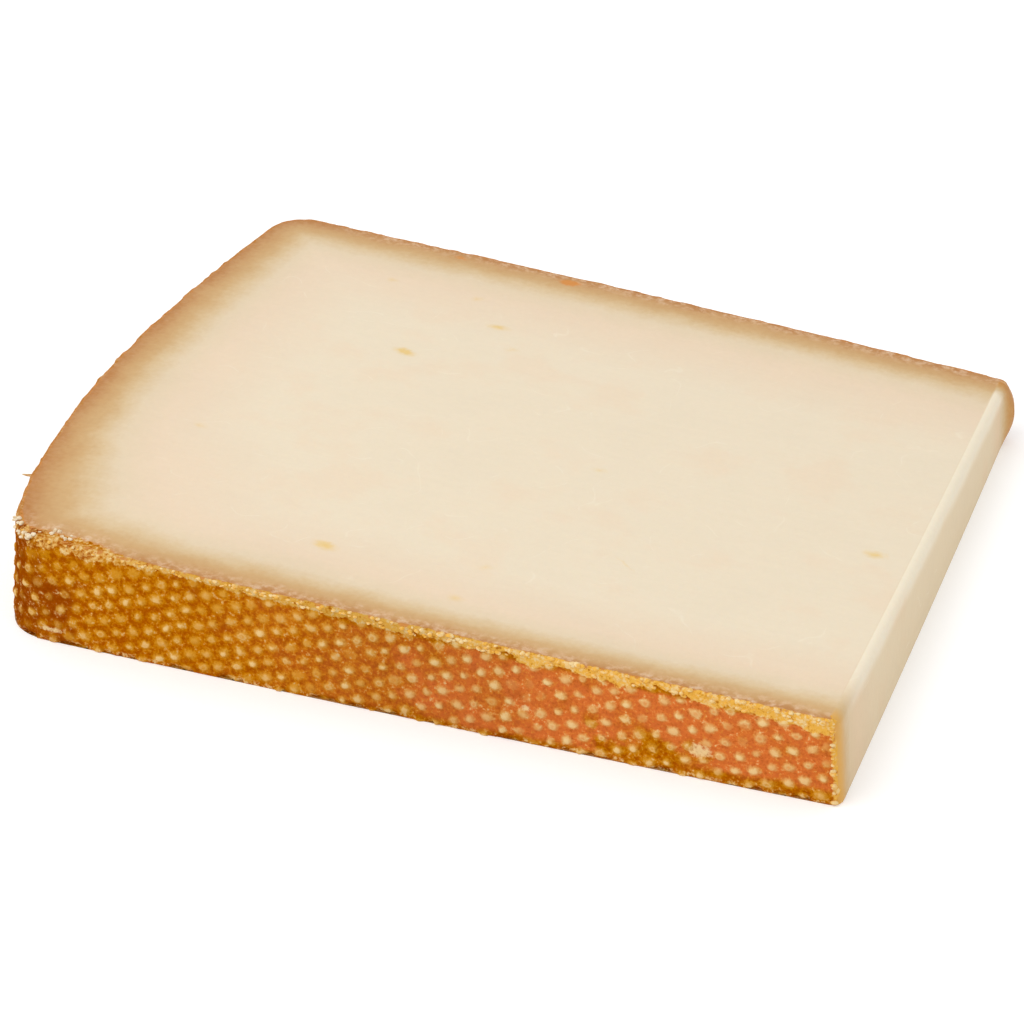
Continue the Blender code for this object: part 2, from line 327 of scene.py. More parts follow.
def column_places(plan):
    """The grid's columns: even along each side, closest on the front, widest on the cut end."""
    marks = (0.0, plan.heel_start, plan.front_start, plan.rind_end, plan.length)
    spacings = (0.50 * MM, 0.46 * MM, 0.25 * MM, 1.0 * MM)
    stretches = [np.linspace(start, end, int((end - start) / spacing), endpoint=False)
                 for start, end, spacing in zip(marks, marks[1:], spacings)]
    return np.concatenate(stretches)


def face_reaches(rows, finest):
    """How far out each ring of a cut face lies, from near 0 at its middle to near 1 at its edge.

    The rings lie closest at the edge: each step inwards is RING_GROWTH times the one before.
    """
    steps = np.cumsum(finest * RING_GROWTH ** np.arange(rows + 1))
    return 1.0 - (steps[:-1] - steps[0]) / steps[-1]


class SliceGrid:
    """The whole surface as rings. Each ring runs round the slice at one stage of its profile.

    The profile starts in the middle of the lower face, runs out to its edge, up the wall, round the
    upper edge and back to the middle of the upper face.
    """

    WALL_RINGS = 55
    FACE_RINGS = 14
    LOWER_RINGS = 6
    EDGE_RINGS = 5
    LOWER_EDGE = 0.22 * MM
    FINEST = 0.35 * MM

    def __init__(self, sizes):
        self.sizes = sizes
        self.plan = Plan()
        self.s = column_places(self.plan)
        self.out = self.plan.outward(self.s)
        self.upper = self.plan.at(self.plan.upper, self.s)
        self.lower = self.plan.at(self.plan.lower, self.s)
        self.height = face_height(sizes, *self.upper.T)
        self.on_rind = self.s < self.plan.rind_end
        self.from_corner = np.minimum(self.s, self.plan.length - self.s)
        self.soft = self.softness(self.s)
        self.upper_edge = np.where(self.on_rind, 0.4 * MM + 0.8 * MM * self.soft, 1.1 * MM)
        self.dots = Dots(sizes, self.plan)
        self.rings = []
        self.marks = {name: [] for name in MARKS}

    def ring(self, xy, z, **marks):
        """Adds one ring of points with its marks, which the material reads."""
        self.rings.append(np.column_stack((xy, z)))
        for name in MARKS:
            self.marks[name].append(np.broadcast_to(marks.get(name, 0.0), self.s.shape))

    def softness(self, s):
        """1 round the front left corner, where the rind's edge is soft, and 0 elsewhere."""
        return self.plan.past_corner(s, -12, -2) * (1.0 - self.plan.past_corner(s, 12, 27))

    def creep(self, s):
        """1 just right of the front left corner, where the rind's colour runs onto the upper face."""
        return self.plan.past_corner(s, -3, 4) * (1.0 - self.plan.past_corner(s, 11, 21))

    def wall_point(self, z):
        """The plain wall at height z, ruled between the lower and the upper outline."""
        share = (z / self.height)[:, None]
        return (1.0 - share) * self.lower + share * self.upper

    def crust_width(self, xy, s):
        """The local depth of the crust: widest at the front's right end and round its left corner."""
        rightwards = smooth(xy[:, 0], -46 * MM, 36 * MM)
        front = self.plan.past_corner(s, -6, 6)
        share = 0.12 + front * (0.16 + 0.72 * rightwards) + 0.7 * self.soft
        return self.sizes.crust_width * share

    def relief(self, z):
        """How far the wall stands out at height z, and the marks of the rind there."""
        sizes, s = self.sizes, self.s
        xy = self.wall_point(z)
        below = self.height - z
        ends = np.minimum(s, self.plan.rind_end - s)
        rise, tone, hollow = self.dots.nearest(s, z)
        faint = smooth(rough(s, z, 9.0 * MM, sizes.seed + 20), 0.60, 0.74)
        faint = np.maximum(faint, self.soft * (1.0 - smooth(below, 2.2 * MM, 5.5 * MM)))
        across = (xy[:, :1] - WORN_PLACES[:, 0]) / WORN_PLACES[:, 2]
        up = (z[:, None] - WORN_PLACES[:, 1]) / WORN_PLACES[:, 3]
        worn = np.exp(-across ** 2 - up ** 2).max(axis=1) * self.plan.past_corner(s, 0, 2)
        rightwards = smooth(xy[:, 0], -40 * MM, 40 * MM)
        strength = (0.62 + 0.12 * rightwards + 0.34 * tone) * (1.0 - 0.75 * faint) * (1.0 - 0.5 * worn)
        dome = np.clip(rise, 0.0, 1.0)
        dome = smooth(dome, 0.0, 0.75) - 0.5 * hollow * smooth(dome, 0.4, 0.9)
        side_edge = 1.0 - self.plan.past_corner(s, -9, 0)
        side_edge *= 1.0 - smooth(below, 0.5 * MM, 2.0 * MM)
        grain = rough(s, z, 1.1 * MM, sizes.seed + 5) - 0.5
        swell = rough(s, z, 11.0 * MM, sizes.seed + 9) - 0.5
        ragged = rough(s, z, 1.5 * MM, sizes.seed + 30) + 0.8 * bumps(s, 0.0 * s, 3.4 * MM, sizes.seed + 33)
        width = self.crust_width(xy, s) * (0.1 + ragged)
        crust = smooth(width - below, -0.3 * MM, 0.3 * MM)
        crust = np.maximum(crust, smooth(0.5 * MM * ragged + s - self.plan.rind_end, -0.3 * MM, 0.3 * MM))
        knobs = rough(s, z, 1.3 * MM, sizes.seed + 40)
        nicks = smooth(rough(s, 0.0 * s, 1.9 * MM, sizes.seed + 50), 0.42, 0.75)
        nicks *= 1.0 - smooth(z, 0.0, 1.2 * MM)
        out = sizes.dot_height * strength * dome * (1.0 - 0.5 * crust) * (1.0 - 0.6 * side_edge)
        out += sizes.crust_height * crust * (0.2 + 0.8 * knobs)
        out += 0.24 * MM * side_edge * smooth(rough(s, z, 2.3 * MM, sizes.seed + 44), 0.45, 0.75)
        out += 0.14 * MM * grain + 0.30 * MM * swell - 0.12 * MM - 0.55 * MM * nicks
        bulge = np.clip(1.0 - self.from_corner / (5.0 * MM), 0.0, 1.0)
        bulge = sizes.far_bulge * smooth(bulge, 0.0, 1.3) / smooth(1.0, 0.0, 1.3)
        bulge = bulge * np.sin(math.pi * z / self.height)
        out = np.where(self.on_rind, out * smooth(ends, 0.0, 1.0 * MM), 0.0) + bulge
        near, far = s - self.plan.rind_end, self.plan.length - s
        ends = np.where(s < self.plan.heel_start, s, ends)
        inside = np.where(self.on_rind, -np.minimum(np.minimum(below, z), ends), np.minimum(near, far))
        marks = {
            "rise": rise, "tone": strength, "hollow": hollow, "crust": crust, "worn": worn,
            "below": below / MM, "above": z / MM, "inside": inside / MM,
            "band": np.where(self.on_rind, 0.0, np.minimum(0.25 + near / (9.5 * MM), far / (5.5 * MM))),
            "end": np.where(self.on_rind, 0.0, 1.0), "corner": self.soft,
            "side": 1.0 - self.plan.past_corner(s, -6, 0),
        }
        return out, marks

    def cut_marks(self, xy):
        """The marks of a cut face: the distance in the plan to the rind, plain and over the band's width."""
        plan = self.plan
        places = np.arange(0.0, plan.rind_end, 1.0 * MM)
        outline = plan.at(plan.upper, places)
        distance = np.hypot(xy[:, None, 0] - outline[None, :, 0], xy[:, None, 1] - outline[None, :, 1])
        heel = smooth(places, plan.heel_start - 12 * MM, plan.heel_start + 12 * MM)
        heel = heel * (1.0 - plan.past_corner(places, -8, 16))
        back = 1.0 - smooth(places, plan.heel_start - 10 * MM, plan.heel_start + 60 * MM)
        left = 1.0 - plan.past_corner(places, 20, 90)
        width = 7.9 * MM + 4.0 * MM * back + 4.2 * MM * heel * (1.0 - back)
        width += 2.8 * MM * left * (1.0 - back) * (1.0 - heel)
        corner = plan.past_corner(places, -36, -4) * (1.0 - plan.past_corner(places, 0, 28))
        width += 5.5 * MM * corner
        side = 1.0 - plan.past_corner(places, -6, 0)
        nearest = np.argmin(distance, axis=1)
        soft = self.softness(places)[nearest]
        shift = 0.4 * soft + 2.0 * self.creep(places)[nearest]
        return {"band": (distance / width).min(axis=1), "inside": distance.min(axis=1) / MM - shift,
                "corner": soft, "side": side[nearest], "above": self.height / MM, "crust": 0.8}

    def build(self):
        """All rings, from the middle of the lower face to the middle of the upper one."""
        middle = self.lower.mean(axis=0)
        for reach in face_reaches(self.LOWER_RINGS, self.FINEST)[::-1]:
            xy = middle + reach * (self.lower - self.out * self.LOWER_EDGE - middle)
            self.ring(xy, 0.0 * self.s, **self.cut_marks(xy))
        for turn in np.linspace(0.0, 0.5 * math.pi, 3, endpoint=False)[1:]:
            z = np.full(self.s.shape, self.LOWER_EDGE * (1.0 - math.cos(turn)))
            self.wall_ring(z, self.LOWER_EDGE * (1.0 - math.sin(turn)))
        for share in np.linspace(0.0, 1.0, self.WALL_RINGS):
            top = self.height - self.upper_edge
            self.wall_ring(self.LOWER_EDGE + share * (top - self.LOWER_EDGE), 0.0)
        for turn in np.linspace(0.0, 0.5 * math.pi, self.EDGE_RINGS + 1)[1:]:
            rise = self.upper_edge * math.sin(turn)
            self.wall_ring(self.height - self.upper_edge + rise, self.upper_edge * (1.0 - math.cos(turn)))
        edge = self.rings[-1][:, :2]
        middle = edge.mean(axis=0)
        for reach in face_reaches(self.FACE_RINGS, self.FINEST)[1:]:
            xy = middle + reach * (edge - middle)
            wave = 0.25 * MM * (rough(*xy.T, 26 * MM, self.sizes.seed + 60) - 0.5)
            wave *= smooth(1.0 - reach, 0.0, 0.1)
            self.ring(xy, face_height(self.sizes, *xy.T) + wave, **self.cut_marks(xy))
        return self

    def wall_ring(self, z, inset):
        """One ring of the wall or of its rounded edges, which lie inset from it."""
        out, marks = self.relief(z)
        xy = self.wall_point(z) + self.out * (out - inset)[:, None]
        slope = face_height(self.sizes, *xy.T) - self.height
        self.ring(xy, z + slope * smooth(z / self.height, 0.8, 1.0), **marks)


MARKS = ("rise", "tone", "hollow", "crust", "worn", "below", "above", "band", "inside", "end",
         "corner", "side")


def closed_rings(name, rings):
    """A mesh from closed surfaces, each a stack of rings: rings has a surface, ring, column and xyz axis.

    Quads join a ring to the next, and a fan joins each end ring to its middle.
    """
    surfaces, count, columns = rings.shape[:3]
    points = np.concatenate((rings.reshape(-1, 3), rings[:, 0].mean(axis=1), rings[:, -1].mean(axis=1)))
    start = (np.arange(surfaces) * count * columns)[:, None, None]
    ring, column = np.meshgrid(np.arange(count - 1) * columns, np.arange(columns), indexing="ij")
    after = (column + 1) % columns
    quads = start[..., None] + np.stack((ring + column, ring + after, ring + columns + after,
                                         ring + columns + column), axis=-1)
    around = np.stack((np.arange(columns), (np.arange(columns) + 1) % columns), axis=-1)
    middle = surfaces * count * columns + np.arange(surfaces)[:, None, None] + 0 * around[None, :, :1]
    first = np.concatenate((start + around[:, ::-1], middle), axis=-1)
    last = np.concatenate((start + (count - 1) * columns + around, middle + surfaces), axis=-1)
    faces = quads.reshape(-1, 4).tolist() + first.reshape(-1, 3).tolist() + last.reshape(-1, 3).tolist()
    mesh = bpy.data.meshes.new(name)
    mesh.from_pydata(points, [], faces)
    mesh.polygons.foreach_set("use_smooth", np.ones(len(mesh.polygons), dtype=bool))
    return mesh


def add_mark(mesh, name, rings):
    """A number for each point of a mesh made by closed_rings from one surface."""
    values = np.concatenate((rings.ravel(), (rings[0].mean(), rings[-1].mean())))
    mesh.attributes.new(name, "FLOAT", "POINT").data.foreach_set("value", values.astype(np.float32))


def link_piece(name, mesh, material):
    """An object for a finished mesh, at the origin, which rides on the frame's only body."""
    mesh.validate()
    mesh.materials.append(material)
    piece = bpy.data.objects.new(name, mesh)
    bpy.context.scene.collection.objects.link(piece)
    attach(piece, "root")
    return piece


# Shader expressions

class Value:
    """A socket in a material. Arithmetic on it adds Math nodes, with numbers or other values."""

    def __init__(self, tree, socket):
        self.tree = tree
        self.socket = socket

    def math(self, operation, *others, clamp=False):
        """A Math node on this value and the others."""
        inputs = {0: self, **{index + 1: other for index, other in enumerate(others)}}
        return self.tree.node("ShaderNodeMath", {"operation": operation, "use_clamp": clamp}, inputs)

    def __add__(self, other):
        return self.math("ADD", other)

    def __sub__(self, other):
        return self.math("SUBTRACT", other)

    def __rsub__(self, other):
        return self.tree.node("ShaderNodeMath", {"operation": "SUBTRACT"}, {0: other, 1: self})

    def __mul__(self, other):
        return self.math("MULTIPLY", other)

    __radd__ = __add__
    __rmul__ = __mul__

    def step(self, low, high):
        """0 at low, 1 at high, with a smooth step between."""
        inputs = {"Value": self, "From Min": low, "From Max": high}
        return self.tree.node("ShaderNodeMapRange", {"interpolation_type": "SMOOTHSTEP"}, inputs)


class Tree:
    """A material's nodes. Every node comes in through the one method node()."""

    def __init__(self, name):
        self.material = bpy.data.materials.new(name)
        self.material.use_nodes = True
        self.tree = self.material.node_tree
        self.tree.nodes.clear()

    def node(self, kind, settings=None, inputs=None, output=0):
        """Adds a node: its settings first, then a value or a link for each named or numbered input."""
        added = self.tree.nodes.new(kind)
        for name, setting in (settings or {}).items():
            if name == "stops":
                self.set_stops(added.color_ramp, setting)
            else:
                setattr(added, name, setting)
        for name, given in (inputs or {}).items():
            if isinstance(given, Value):
                self.tree.links.new(given.socket, added.inputs[name])
            else:
                added.inputs[name].default_value = given
        return Value(self, added.outputs[output]) if len(added.outputs) else added

    @staticmethod
    def set_stops(ramp, stops):
        """Gives a colour ramp its stops, each a place and a linear colour."""
        while len(ramp.elements) < len(stops):
            ramp.elements.new(1.0)
        for element, (place, colour) in zip(ramp.elements, stops):
            element.position = place
            element.color = (*colour, 1.0)

    def mark(self, name):
        """A number stored on the mesh's points."""
        return self.node("ShaderNodeAttribute", {"attribute_name": name}, output=2)

    def place(self, scale=(1.0, 1.0, 1.0)):
        """The object's own coordinates in millimetres, times a scale along each axis."""
        coordinates = self.node("ShaderNodeTexCoord", output=3)
        return self.vector("MULTIPLY", coordinates, Vector(scale) / MM)

    def vector(self, operation, *inputs):
        """A Vector Math node on the inputs."""
        return self.node("ShaderNodeVectorMath", {"operation": operation}, dict(enumerate(inputs)))

    def axis(self, where, index):
        """One coordinate of a place: 0 sideways, 1 backwards, 2 up."""
        return self.node("ShaderNodeSeparateXYZ", inputs={0: where}, output=index)

    def noise(self, where, size, detail=3.0, roughness=0.55):
        """Smooth noise from 0 to 1 whose blotches are about size millimetres across."""
        inputs = {"Vector": where, "Scale": 1.0 / size, "Detail": detail, "Roughness": roughness}
        return self.node("ShaderNodeTexNoise", {"noise_dimensions": "3D"}, inputs)

    def blend(self, low, high, share):
        """Colour low where share is 0 and high where it is 1."""
        inputs = {0: share, 6: low if isinstance(low, Value) else (*low, 1.0),
                  7: high if isinstance(high, Value) else (*high, 1.0)}
        return self.node("ShaderNodeMix", {"data_type": "RGBA"}, inputs, output=2)

    def shade(self, colour, amount):
        """A colour made lighter or darker: times amount, in all three channels alike."""
        inputs = {0: colour, "Scale": amount}
        return self.node("ShaderNodeVectorMath", {"operation": "SCALE"}, inputs)

    def surface(self, colour, roughness, height, relief, **constants):
        """A Principled shader with bump. Constants are set straight on its sockets."""
        bump = self.node("ShaderNodeBump", inputs={"Height": height, "Distance": relief, "Strength": 1.0})
        inputs = {"Base Color": colour, "Roughness": roughness, "Normal": bump}
        inputs.update({name.replace("_", " "): value for name, value in constants.items()})
        return self.node("ShaderNodeBsdfPrincipled", inputs=inputs)

    def finish(self, shader):
        """Ends the material in a shader."""
        self.node("ShaderNodeOutputMaterial", inputs={"Surface": shader})
        return self.material


def fleck_mask(tree, where, flecks):
    """1 in the middle of each fleck and 0 outside them all: the strongest of the fading ellipses."""
    mask = 0.0
    for x, y, half_length, half_width, turn, strength in flecks:
        settings = {"vector_type": "TEXTURE"}
        z = face_height(bpy.context.scene.slice_sizes, x * MM, y * MM) / MM
        inputs = {"Vector": where, "Location": (x, y, z), "Rotation": (0.0, 0.0, math.radians(turn)),
                  "Scale": (half_length, half_width, 3.0)}
        inner = tree.node("ShaderNodeMapping", settings, inputs)
        spot = tree.node("ShaderNodeTexGradient", {"gradient_type": "SPHERICAL"}, {0: inner}, output=1)
        mask = (spot * strength).math("MAXIMUM", mask)
    return mask


def paste_surface(tree, colours):
    """Cut paste: cream with faint mottling and flecks, and tan to brown towards the rind."""
    where = tree.place()
    mottle = tree.noise(where, 14.0, 4.0)
    fine = tree.noise(where, 0.9, 3.0)
    frost = tree.noise(where, 1.2, 3.0, 0.65)
    sideways, backwards = tree.axis(where, 0), tree.axis(where, 1)
    streaks = tree.noise(tree.place((0.25, 2.2, 1.0)), 2.4, 3.0)
    end, below, above = tree.mark("end"), tree.mark("below"), tree.mark("above")
    patches = tree.noise(where, 5.0)
    band = tree.mark("band") + (patches - 0.5) * 0.25 + (fine - 0.5) * 0.15
    inside = tree.mark("inside") + (fine - 0.5) * 1.4
    stops = ((0.0, colours.band_outer), (0.08, colours.band_brown), (0.15, colours.band_tan),
             (0.23, colours.band_pale), (0.33, colours.band_inner), (0.50, colours.paste_warm),
             (1.0, colours.paste))
    colour = tree.node("ShaderNodeValToRGB", {"stops": stops}, {0: band * 0.42 - 0.02})
    colour = tree.blend(colour, colours.paste_warm, mottle.step(0.50, 0.66) * band.step(0.8, 1.6) * 0.5)
    colour = tree.blend(colours.chip, colour, inside.step(-0.1, 0.9) * 0.5 + 0.5)
    tint = tree.blend((1.0, 1.0, 1.0), colours.end_tint, end)
    colour = tree.vector("MULTIPLY", colour, tint)
    end_border = end * (1.0 - inside.step(0.5, 3.9))
    colour = tree.blend(colour, colours.crust, end_border * 0.6)
    far = end * backwards.step(10.0, 40.0)
    colour = tree.blend(colour, colours.band_outer, end_border * far * 0.75)
    low = 1.0 - above.step(3.0, 8.0) * 0.6
    colour = tree.blend(colour, colours.golden_ground, far * (1.0 - inside.step(0.0, 2.6)) * low * 0.4)
    lines = (tree.noise(where, 16.0, 1.5) - 0.5).math("ABSOLUTE")
    hair = (1.0 - lines.step(0.0, 0.006)) * patches.step(0.50, 0.62) * band.step(0.6, 1.4)
    colour = tree.blend(colour, colours.highlight_and_scratch, hair * 0.22)
    # Painted highlight: a paler line along the cut end's rounded upper edge, fading out towards the front
    # corner
    painted_edge_highlight = end.step(0.2, 0.9) * (1.0 - (below + (mottle - 0.5) * 2.0).step(0.2, 3.2))
    painted_edge_highlight = painted_edge_highlight * band.step(0.6, 1.2) * backwards.step(-57.0, -44.0)
    colour = tree.blend(colour, colours.highlight_and_scratch, painted_edge_highlight * 0.7)
    beside = (1.0 - (inside + (patches - 0.5) * 2.0).step(1.0, 3.8)) * inside.step(0.1, 0.6) * (1.0 - end)
    heel = tree.mark("side") * (1.0 - sideways.step(-60.0, -44.0))
    beside = beside * (1.0 - heel * 0.85)
    colour = tree.blend(colour, colours.frost, frost.step(0.40, 0.66) * beside * 0.55)
    speckle = frost.step(0.60, 0.76) * beside
    colour = tree.blend(colour, colours.crumb, speckle * 0.3)
    bent = tree.node("ShaderNodeTexNoise", inputs={"Vector": where, "Scale": 0.9, "Detail": 3.0}, output=1)
    bent = tree.vector("MULTIPLY_ADD", tree.vector("SUBTRACT", bent, (0.5, 0.5, 0.5)), (1.4, 1.4, 0.0), where)
    colour = tree.blend(colour, colours.fleck, fleck_mask(tree, bent, FLECKS).step(0.0, 0.7) * 0.8)
    colour = tree.blend(colour, colours.chip, fleck_mask(tree, bent, CHIPS).step(0.05, 0.6) * 0.85)
    amount = 0.985 + (mottle - 0.5) * 0.07 + (fine - 0.5) * 0.05 + (streaks - 0.5) * 0.035
    colour = tree.shade(colour, amount)
    height = mottle * 0.4 + fine * 0.15 + speckle * 0.3 + streaks * 0.15
    return tree.surface(colour, 0.5, height, 0.25 * MM, Specular_IOR_Level=0.25, Subsurface_Weight=0.05,
                        Subsurface_Radius=(1.0, 0.6, 0.3), Subsurface_Scale=0.8 * MM)


def rind_surface(tree, colours):
    """Rind: golden to salmon ground with dark blotches, tan dots with hollow tops that are pale partly in
    colour and partly by a painted highlight, golden crust.
    """
    where = tree.place()
    sideways = tree.axis(where, 0)
    blotch = tree.noise(where, 6.0, 4.0)
    mottle = tree.noise(where, 1.2, 4.0, 0.65)
    fine = tree.noise(where, 0.5, 3.0, 0.65)
    grit = (mottle - 0.5) * 1.7 + (fine - 0.5) * 1.5
    uneven = tree.mark("rise") + (mottle - 0.5) * 1.2 + (fine - 0.5) * 0.6
    side = tree.mark("side")
    below, above, tone = tree.mark("below"), tree.mark("above"), tree.mark("tone")
    wander = sideways + (blotch - 0.5) * 40.0
    salmon = wander.step(-30.0, 2.0) * 0.35 + wander.step(2.0, 12.0) * 0.65
    golden = wander.step(34.0, 39.0) * (1.0 - wander.step(44.0, 50.0)) * (1.0 - above.step(5.0, 9.0))
    over_foot = (above - sideways.step(30.0, 60.0) * 1.4).step(-0.3, 2.4)
    edges = (below.step(0.8, 2.9) * over_foot + (blotch - 0.5) * 1.6).step(0.1, 0.8)
    patches = tree.noise(where, 9.0).step(0.40, 0.56)
    salmon = salmon * (1.0 - golden) * edges * (0.65 + patches * 0.35)
    goldness = (uneven * 0.6 + grit * 0.7).step(-0.8, 0.25)
    ground = tree.blend(colours.brown_ground, colours.golden_ground, goldness)
    ground = tree.blend(ground, colours.salmon_ground, salmon * 0.85)
    ground = tree.blend(ground, colours.dot, fine.step(0.54, 0.70) * 0.35)
    ground = tree.blend(colours.brown_ground, ground, fine.step(0.30, 0.44) * 0.4 + 0.6)
    leftmost = (1.0 - sideways.step(-61.0, -46.0)) * (1.0 - side * 0.8)
    dark = (blotch + sideways * -0.0016 + leftmost * 0.22 + grit * 0.05).step(0.62, 0.78)
    ground = tree.blend(ground, colours.dark_ground, dark * 0.85)
    ground = tree.shade(ground, 1.0 + grit * 0.3 - leftmost * 0.12)
    lost = leftmost * (1.0 - tone.step(0.78, 0.90)) * 0.85
    foot = (uneven * 0.85).step(-0.2, 0.45) * tone * (1.0 - lost)
    pit = (uneven - 0.25).step(0.2, 0.6) * tree.mark("hollow").step(0.35, 0.7)
    # Pale tops of the dots: partly the dots' own paler colour, partly a painted highlight on each dot's top
    pale_top_and_highlight = uneven.step(0.25, 0.75) * tone.step(0.60, 1.0) * (1.0 - pit * 0.8)
    colour = tree.blend(ground, tree.blend(colours.dot, colours.salmon_dot, salmon), foot)
    colour = tree.blend(colour, colours.dot_peak, pale_top_and_highlight * (1.0 - lost) * 0.7)
    colour = tree.blend(colour, ground, pit * 0.35)
    foot_bits = (1.0 - above.step(0.2, 1.1)) * grit.step(0.0, 0.3)
    colour = tree.blend(colour, colours.dot_peak, foot_bits * 0.65)
    colour = tree.blend(colour, colours.dot_peak, (tree.mark("worn") + grit * 0.8).step(0.3, 0.9) * 0.85)
    corner = tree.mark("corner")
    crust = (tree.mark("crust") * (1.0 - corner * 0.45) + grit * (1.2 + corner * 0.1)).step(0.15, 0.9)
    crust_colour = tree.blend(colours.crust, colours.dot_peak, (grit + uneven * 0.15).step(-0.1, 0.45) * 0.85)
    crust_colour = tree.blend(colours.golden_ground, crust_colour, grit.step(-0.6, -0.1))
    soft_colour = tree.blend(colours.band_tan, crust_colour, grit.step(-0.15, 0.35))
    crust_colour = tree.blend(crust_colour, soft_colour, corner * 0.5)
    crust_colour = tree.shade(crust_colour, 0.79 + sideways.step(-10.0, 30.0) * 0.19 + corner * 0.12)
    colour = tree.blend(colour, crust_colour, crust)
    far_sides = (tree.mark("inside") + 0.9).step(0.0, 0.7) * side
    side_colour = tree.blend(colours.band_outer, colours.band_tan, grit.step(-0.1, 0.5))
    colour = tree.blend(colour, side_colour, far_sides)
    dim = sideways.step(-14.0, 0.0) * (1.0 - sideways.step(18.0, 32.0))
    colour = tree.shade(colour, 1.0 - dim * 0.09)
    height = foot * 0.5 + grit * 0.45
    return tree.surface(colour, 0.5, height, 0.14 * MM, Specular_IOR_Level=0.0)


def crumb_material(name, colour, other, middle):
    """Matt crumbs of two colours, mixed unevenly: the other colour where the noise is above the middle."""
    tree = Tree(name)
    where = tree.place()
    grain = tree.noise(where, 1.0, 4.0)
    colour = tree.blend(colour, other, grain.step(middle - 0.12, middle + 0.12))
    colour = tree.shade(colour, 1.0 + (tree.noise(where, 0.4) - 0.5) * 0.3)
    return tree.finish(tree.surface(colour, 0.7, grain, 0.08 * MM, Specular_IOR_Level=0.05))


def cheese_material(colours):
    """Paste and rind in one material. They meet along a ragged line at the rind's edges."""
    tree = Tree("cheese")
    paste = paste_surface(tree, colours)
    rind = rind_surface(tree, colours)
    ragged = tree.noise(tree.place(), 1.1, 3.0, 0.6)
    share = (tree.mark("inside") - (ragged - 0.44) * 3.0).step(-0.15, 0.15)
    return tree.finish(tree.node("ShaderNodeMixShader", inputs={0: share, 1: rind, 2: paste}))


class OBJECT_OT_cheese_slice(bpy.types.Operator):
    """Makes the slice, in place of the frame's plain solid"""

    bl_idname = "object.cheese_slice"
    bl_label = "Cheese slice"

    def execute(self, context):
        grid = SliceGrid(context.scene.slice_sizes).build()
        rings = np.clip(np.array(grid.rings), BOX_LOW, BOX_HIGH)
        mesh = closed_rings("cheese_slice", rings[None])
        for name in MARKS:
            add_mark(mesh, name, np.array(grid.marks[name]))
        piece = link_piece("cheese_slice", mesh, cheese_material(context.scene.slice_colours))
        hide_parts("cheese")
        return {"FINISHED"}


def clumps(centres, radii, seed):
    """Closed lumps round the centres: ellipsoids of the given radii, dented by random waves.

    The ring at latitude v has radius cos v times 1 + 0.25 sin(2 u + a) cos(v + b), with u going round,
    and a and b drawn for each lump.
    """
    draw = np.random.default_rng(seed)
    turn = draw.uniform(0.0, 2.0 * math.pi, (4, len(centres), 1, 1))
    v = np.linspace(-0.42 * math.pi, 0.42 * math.pi, 5)[None, :, None]
    u = np.linspace(0.0, 2.0 * math.pi, 8, endpoint=False)[None, None, :]
    size = 1.0 + 0.25 * np.sin(2.0 * u + turn[0]) * np.cos(v + turn[1])
    x = size * np.cos(v) * np.cos(u + turn[2])
    y = size * np.cos(v) * np.sin(u + turn[2])
    z = size * np.sin(v) + 0.0 * u
    return np.stack((x, y, z), axis=-1) * radii[:, None, None, :] + centres[:, None, None, :]


